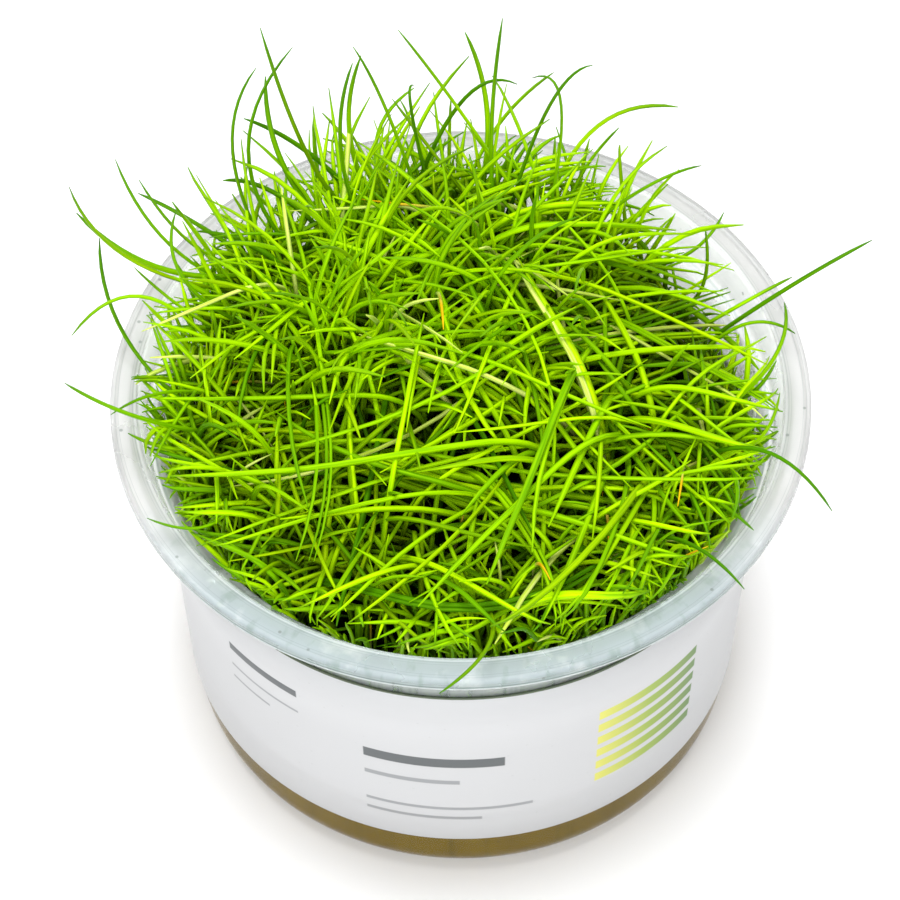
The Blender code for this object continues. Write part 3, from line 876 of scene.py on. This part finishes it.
def make_turf(material):
    chance = np.random.default_rng(GRASS_SEED)
    back = (math.radians(112), 0.65)
    inward = (math.pi, 1.1)
    # The low layer's dark tone range is painted shade deep in the turf; within each layer the tone differs at random
    layers = {
        "turf_low": sow(chance, 80, 6, (0, 36), (36, 60), (32, 46), (6, 14), (0.7, 1.0), (0.0, 0.4), spread=0.9),
        "turf_middle": sow(
            chance, 84, 7, (0, 36), (48, 82), (42, 56), (8, 18), (0.7, 1.0), (0.2, 0.9), spread=1.0,
        ),
        "turf_top": sow(
            chance, 84, 6, (0, 34), (62, 104), (58, 69), (10, 26), (0.7, 1.1), (0.4, 1.0), spread=1.0,
        ),
        "turf_edge": sow(
            chance, 130, 6, (33.5, 37.4), (44, 60), (58, 66), (3, 11), (0.65, 1.05), (0.5, 1.0), heading=inward,
            lean=0.0, fall=0.0,
        ),
        "turf_rim": sow(
            chance, 70, 6, (34.5, 37.4), (41, 50), (57, 62), (3, 8), (0.65, 1.0), (0.5, 1.0), heading=(0.0, 1.1),
            lean=0.0, fall=0.0,
        ),
        "turf_back": sow(
            chance, 90, 6, (8, 33), (50, 72), (64, 84), (16, 40), (0.65, 1.0), (0.8, 1.0),
            side=back, fall=0.0, lean=0.14,
        ),
    }
    stations = {"turf_low": 13, "turf_middle": 15, "turf_top": 20, "turf_edge": 14, "turf_rim": 13, "turf_back": 15}
    bundled = {"turf_top": 0.05, "turf_edge": 0.03, "turf_back": 0.03}
    for name, tufts in layers.items():
        paths = grow(chance, tufts, stations[name])
        looks = tufts
        if name in bundled:
            paths, looks = add_bundles(chance, paths, tufts, bundled[name])
        sides = 5 if name in bundled else 4
        sweep_blades(name, paths, looks, material, ["turf"], sides)


def make_stage():
    mesh = bmesh.new()
    bmesh.ops.create_grid(mesh, x_segments=1, y_segments=1, size=3.0)
    data = bpy.data.meshes.new("floor")
    mesh.to_mesh(data)
    mesh.free()
    finish = Finish("floor")
    finish.set(Base_Color=(0.95, 0.95, 0.95, 1.0), Roughness=0.9)
    data.materials.append(finish.material)
    floor = bpy.data.objects.new("floor", data)
    floor.location.z = -0.05 * MM
    bpy.context.scene.collection.objects.link(floor)


def make_lights():
    world = bpy.data.worlds.new("studio")
    bpy.context.scene.world = world
    world.use_nodes = True
    world.node_tree.nodes["Background"].inputs["Color"].default_value = (1.0, 1.0, 1.0, 1.0)
    world.node_tree.nodes["Background"].inputs["Strength"].default_value = 0.5
    for name, place, size, power in SOFT_BOXES:
        data = bpy.data.lights.new(name, "AREA")
        data.size = size
        data.energy = power
        light = bpy.data.objects.new(name, data)
        light.location = place
        light.rotation_euler = (-Vector(place)).to_track_quat("-Z", "Y").to_euler()
        bpy.context.scene.collection.objects.link(light)


def make_camera():
    data = bpy.data.cameras.new("camera")
    data.lens = CAMERA_LENS
    data.sensor_width = SENSOR_WIDTH
    data.clip_start = 0.01
    camera = bpy.data.objects.new("camera", data)
    ahead = Vector(
        (
            -math.sin(CAMERA_LEFT) * math.cos(CAMERA_DOWN),
            math.cos(CAMERA_LEFT) * math.cos(CAMERA_DOWN),
            -math.sin(CAMERA_DOWN),
        )
    )
    right = ahead.cross(Vector((0, 0, 1))).normalized()
    up = right.cross(ahead)
    right, up = (
        right * math.cos(CAMERA_ROLL) - up * math.sin(CAMERA_ROLL),
        right * math.sin(CAMERA_ROLL) + up * math.cos(CAMERA_ROLL),
    )
    turn = Matrix((right, up, -ahead)).transposed()
    camera.matrix_world = Matrix.Translation(CAMERA_PLACE) @ turn.to_4x4()
    bpy.context.scene.collection.objects.link(camera)
    bpy.context.scene.camera = camera


set_picture()
make_camera()
make_lights()
make_stage()
make_cup()
make_label()
make_gel()
make_turf(blade_green("turf_green"))
make_long_blades(blade_green("blade_green"))
